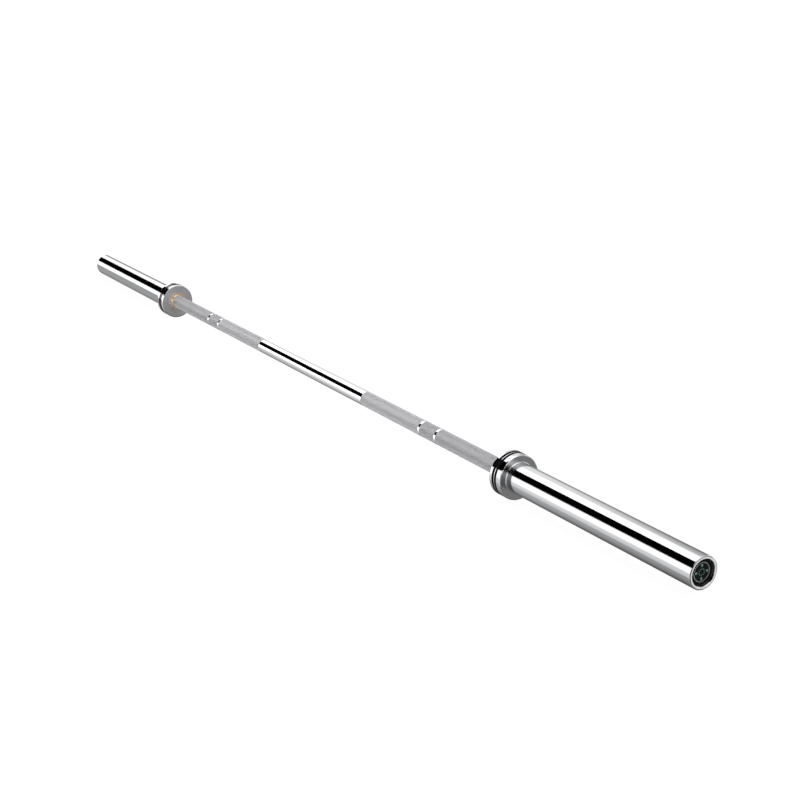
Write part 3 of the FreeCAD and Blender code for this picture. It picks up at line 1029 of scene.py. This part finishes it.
@dataclass(frozen=True)
class Studio:
    """The pale floor, the soft light all round with one dark screen in it, and the camera.

    The light's levels go round the bar's axis: nought degrees is the horizon in front, ninety is overhead.
    Side light comes from straight across the bar. Towards the left end it passes into near, middle and
    far light, and towards the right end into right, shaded and end light. Each reach says where that light
    takes over from the one before, by how much of the direction runs along the bar. The screen's edges are
    given in the same way. The floor is bright to look at and throws less light on the bar.
    """

    floor_half: float = 30.0
    floor_pale: Colour = (0.10, 0.10, 0.10)
    floor_glow: float = 0.95
    floor_spill: float = 0.6
    camera_place: Place = (2.45011, -1.29945, 0.82867)
    camera_heading: float = math.radians(148.5759)
    camera_pitch: float = math.radians(-17.7700)
    focal_pixels: float = 1496.60
    image_pixels: float = 800.0
    sky: float = 2.0
    backdrop: float = 1.02
    near_levels: Levels = (
        (-180, 0.26), (-148, 0.15), (-107, 0.12), (-87, 0.27), *FRONT_LEVELS,
        (120, 1.2), (132, 0.77), (152, 0.6), (162, 0.42), (180, 0.26))
    middle_levels: Levels = (
        (-180, 0.4), (-148, 0.2), (-107, 0.17), (-87, 0.4), (-67, 0.57), (-50, 0.62), (-40, 1.0),
        (-20, 1.2), (-8, 2.0), (112, 2.0), (122, 1.2), (142, 1.25), (152, 1.15), (163, 0.75), (180, 0.4))
    far_levels: Levels = (
        (-180, 1.7), (-165, 1.4), (-150, 0.6), (-120, 0.28), (-87, 0.34), (-67, 0.5), (-13, 0.52),
        (-4, 2.0), (122, 2.0), (132, 1.0), (142, 0.42), (158, 0.4), (168, 0.9), (176, 1.6), (180, 1.7))
    right_levels: Levels = (
        (-180, 0.4), (-148, 0.36), (-120, 0.28), (-90, 0.22), *FRONT_LEVELS,
        (120, 1.5), (135, 1.5), (155, 0.8), (180, 0.4))
    shade_levels: Levels = (
        (-180, 0.48), (-148, 0.48), (-127, 0.4), (-90, 0.26), (-50, 0.2), (76, 0.2), (88, 0.8), (100, 1.5),
        (112, 1.5), (119, 1.1), (135, 1.2), (155, 0.8), (180, 0.48))
    end_levels: Levels = (
        (-180, 0.5), (-165, 0.1), (-148, 0.05), (-125, 0.05), (-105, 0.3), (-60, 0.6), (-20, 0.8),
        (-8, 1.6), (0, 2.0), (112, 2.0), (130, 1.4), (150, 0.9), (180, 0.5))
    side_levels: Levels = (
        (-180, 1.5), (-170, 1.5), (-163, 0.5), (-148, 0.45), (-130, 0.2), (-107, 0.12), (-87, 0.27),
        *FRONT_LEVELS, (120, 1.2), (132, 0.77), (146, 0.6), (150, 1.5), (180, 1.5))
    near_reach: Span = (0.5, 0.62)
    middle_reach: Span = (0.67, 0.745)
    far_reach: Span = (0.80, 0.90)
    right_reach: Span = (0.35, 0.6)
    shade_reach: Span = (0.69, 0.74)
    end_reach: Span = (0.77, 0.81)
    screen_low: Levels = (
        (0.66, 24), (0.75, 23), (0.80, 19), (0.845, 17), (0.87, 21), (0.90, 28.5), (0.92, 32))
    screen_high: Levels = (
        (0.66, 72), (0.75, 72), (0.845, 79), (0.90, 87), (0.92, 88))
    screen_top: float = 90.0
    screen_edge: float = 1.5

    def build(self) -> None:
        """Set the stage."""
        self.lay_floor()
        self.light_round()
        self.place_camera()
        bpy.context.scene.view_settings.view_transform = "Standard"

    def lay_floor(self) -> None:
        """Lay the floor under the collars."""
        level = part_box("right_collar")[0].z
        quarters = ((-1, -1), (1, -1), (1, 1), (-1, 1))
        corners = [(x * self.floor_half, y * self.floor_half, level) for x, y in quarters]
        mesh = bpy.data.meshes.new("floor")
        mesh.from_pydata(corners, [], [(0, 1, 2, 3)])
        floor = bpy.data.objects.new("floor", mesh)
        bpy.context.scene.collection.objects.link(floor)
        material = bpy.data.materials.new("pale_floor")
        material.use_nodes = True
        nodes = NodeTree(material.node_tree)
        matt = nodes.add("ShaderNodeBsdfDiffuse", {"Color": (*self.floor_pale, 1)})
        seen = nodes.add("ShaderNodeLightPath").outputs["Is Camera Ray"]
        strength = nodes.ramp(seen, 0.0, 1.0, self.floor_spill, self.floor_glow)
        glow = nodes.add("ShaderNodeEmission", {"Color": (1, 1, 1, 1), "Strength": strength})
        both = nodes.add("ShaderNodeAddShader", {0: matt.outputs[0], 1: glow.outputs[0]})
        nodes.add("ShaderNodeOutputMaterial", {"Surface": both.outputs[0]})
        mesh.materials.append(material)
        floor.visible_glossy = False

    def light_round(self) -> None:
        """Surround the bar with soft light, with a plain backdrop for the camera."""
        world = bpy.data.worlds.new("studio")
        bpy.context.scene.world = world
        world.use_nodes = True
        nodes = NodeTree(world.node_tree)
        direction = nodes.add("ShaderNodeTexCoord").outputs["Generated"]
        right, back, up = nodes.add("ShaderNodeSeparateXYZ", {0: direction}).outputs
        left = nodes.maths("MULTIPLY", right, -1.0)
        front = nodes.maths("MULTIPLY", back, -1.0)
        rise = nodes.maths("DEGREES", nodes.maths("ARCTAN2", up, front))
        level = self.level(nodes, rise, left, right)
        light = nodes.maths("MULTIPLY", level, self.open_share(nodes, rise, left))
        seen = nodes.add("ShaderNodeLightPath").outputs["Is Camera Ray"]
        strength = nodes.ramp(seen, 0.0, 1.0, light, self.backdrop)
        backdrop = nodes.add("ShaderNodeBackground", {"Color": (1, 1, 1, 1), "Strength": strength})
        nodes.add("ShaderNodeOutputWorld", {"Surface": backdrop.outputs[0]})

    def level(self, nodes: NodeTree, rise: Socket, left: Socket, right: Socket) -> Socket:
        """Work out the light's level, from side light out to both ends.

        Args:
            nodes: the world's tree.
            rise: the direction's angle round the bar's axis.
            left: its share along the bar to the left.
            right: its share along the bar to the right.

        Returns:
            The socket that holds the level without the screen.
        """
        level = self.follow(nodes, rise, self.side_levels, self.sky)
        for share, reach, levels, shape in (
            (left, self.near_reach, self.near_levels, "LINEAR"),
            (left, self.middle_reach, self.middle_levels, "LINEAR"),
            (left, self.far_reach, self.far_levels, "LINEAR"),
            (right, self.right_reach, self.right_levels, "SMOOTHSTEP"),
            (right, self.shade_reach, self.shade_levels, "SMOOTHSTEP"),
            (right, self.end_reach, self.end_levels, "SMOOTHSTEP"),
        ):
            following = self.follow(nodes, rise, levels, self.sky)
            level = nodes.ramp(share, *reach, level, following, shape=shape)
        return level

    def open_share(self, nodes: NodeTree, rise: Socket, left: Socket) -> Socket:
        """Work out how much of the light gets past the dark screen.

        Args:
            nodes: the world's tree.
            rise: the direction's angle round the bar's axis.
            left: its share along the bar to the left.

        Returns:
            The socket that holds the share, nought on the screen and one off it.
        """
        low = self.follow(nodes, left, self.screen_low, self.screen_top)
        high = self.follow(nodes, left, self.screen_high, self.screen_top)
        edge = (-self.screen_edge, self.screen_edge)
        above = nodes.ramp(nodes.maths("SUBTRACT", rise, low), *edge, 0.0, 1.0)
        below = nodes.ramp(nodes.maths("SUBTRACT", rise, high), *edge, 1.0, 0.0)
        return nodes.maths("SUBTRACT", 1.0, nodes.maths("MULTIPLY", above, below))

    @staticmethod
    def follow(nodes: NodeTree, place: Socket, points: Levels, top: float) -> Socket:
        """Follow straight lines from point to point, held at both ends.

        Args:
            nodes: the world's tree.
            place: the socket that the points are counted along.
            points: pairs of a place and a height, in order.
            top: a height that no point passes.

        Returns:
            The socket that holds the height.
        """
        start, end = points[0][0], points[-1][0]
        ramp = nodes.add("ShaderNodeValToRGB", {0: nodes.ramp(place, start, end, 0.0, 1.0)})
        stops = ramp.color_ramp.elements
        shares = [(along - start) / (end - start) for along, _ in points]
        for share in shares[1:-1]:
            stops.new(share)
        for stop, share, (_, height) in zip(stops, shares, points):
            stop.position = share
            stop.color = (*[height / top] * 3, 1)
        return nodes.maths("MULTIPLY", ramp.outputs[0], top)

    def place_camera(self) -> None:
        """Set the camera at the photograph's viewing angle."""
        data = bpy.data.cameras.new("camera")
        data.lens = data.sensor_width * self.focal_pixels / self.image_pixels
        camera = bpy.data.objects.new("camera", data)
        flat = math.cos(self.camera_pitch)
        gaze = Vector((flat * math.cos(self.camera_heading), flat * math.sin(self.camera_heading),
                       math.sin(self.camera_pitch)))
        camera.location = self.camera_place
        camera.rotation_mode = "QUATERNION"
        camera.rotation_quaternion = gaze.to_track_quat("-Z", "Y")
        bpy.context.scene.collection.objects.link(camera)
        bpy.context.scene.camera = camera


def main() -> None:
    """Build the bar's pieces in order, then the studio round them."""
    logging.basicConfig(level=logging.INFO, format="%(message)s")
    lathe = Lathe()
    Shaft(lathe).build()
    for side in Side:
        SleeveAssembly(side, lathe).build()
    Studio().build()


if __name__ == "__main__":
    main()
